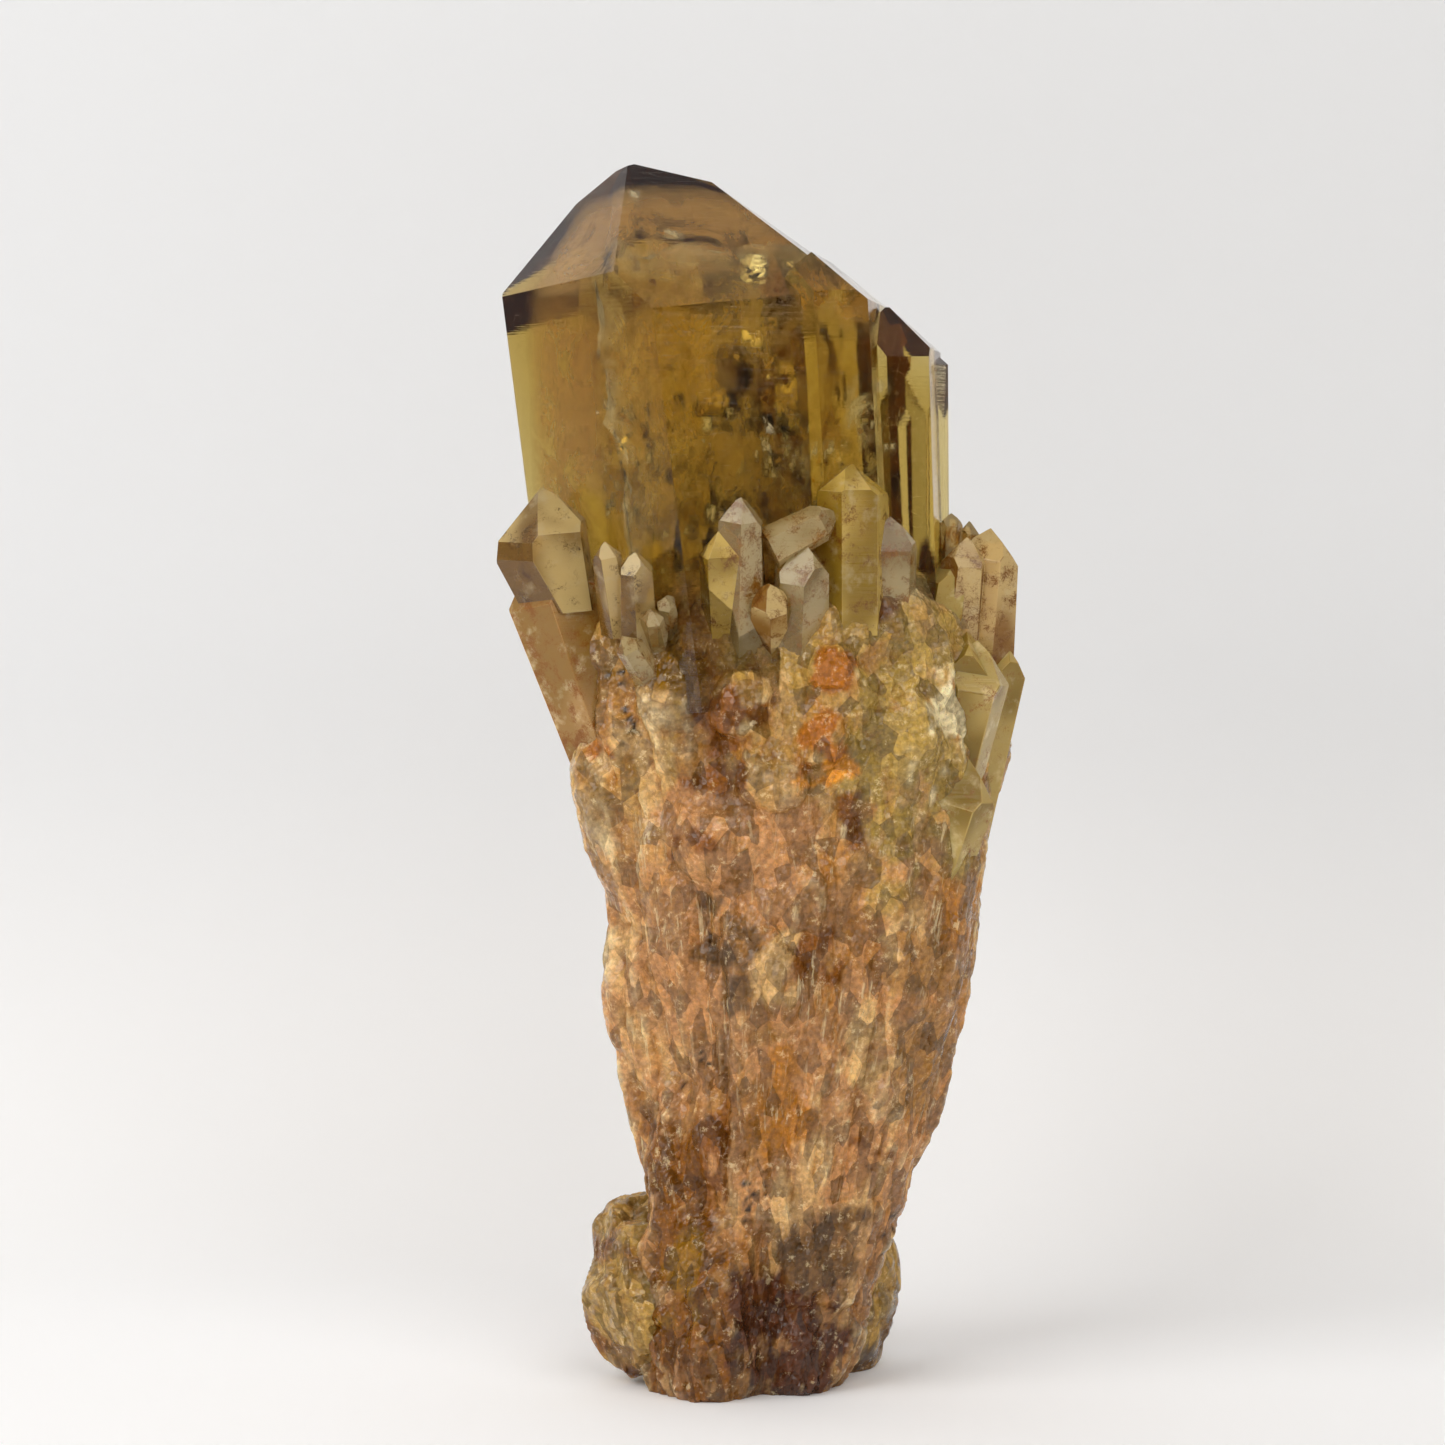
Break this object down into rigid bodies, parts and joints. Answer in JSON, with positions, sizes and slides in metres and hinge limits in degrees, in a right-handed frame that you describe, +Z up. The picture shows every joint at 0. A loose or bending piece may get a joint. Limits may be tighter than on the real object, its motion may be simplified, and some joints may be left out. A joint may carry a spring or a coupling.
{
  "type": "citrine cluster",
  "caption": "Upright smoky citrine cluster: one large clear golden point with parallel points and small side crystals on a fanned, iron-stained quartz root, cut flat where it stands.",
  "frame": {"origin": "on the resting face, under the middle of the cluster's bounding box", "axes": "+Z up along the growth of the crystals; -Y faces the side with the shoulder crystals, the show face; +X to the right seen from the show face"},
  "size_m": [0.0681, 0.0461, 0.1584],
  "materials": {
    "stained_quartz": "glassy crystal faces over milky, iron-stained etched quartz"
  },
  "bodies": {
    "root": {"citrine_cluster": "stained_quartz"}
  },
  "joints": []
}
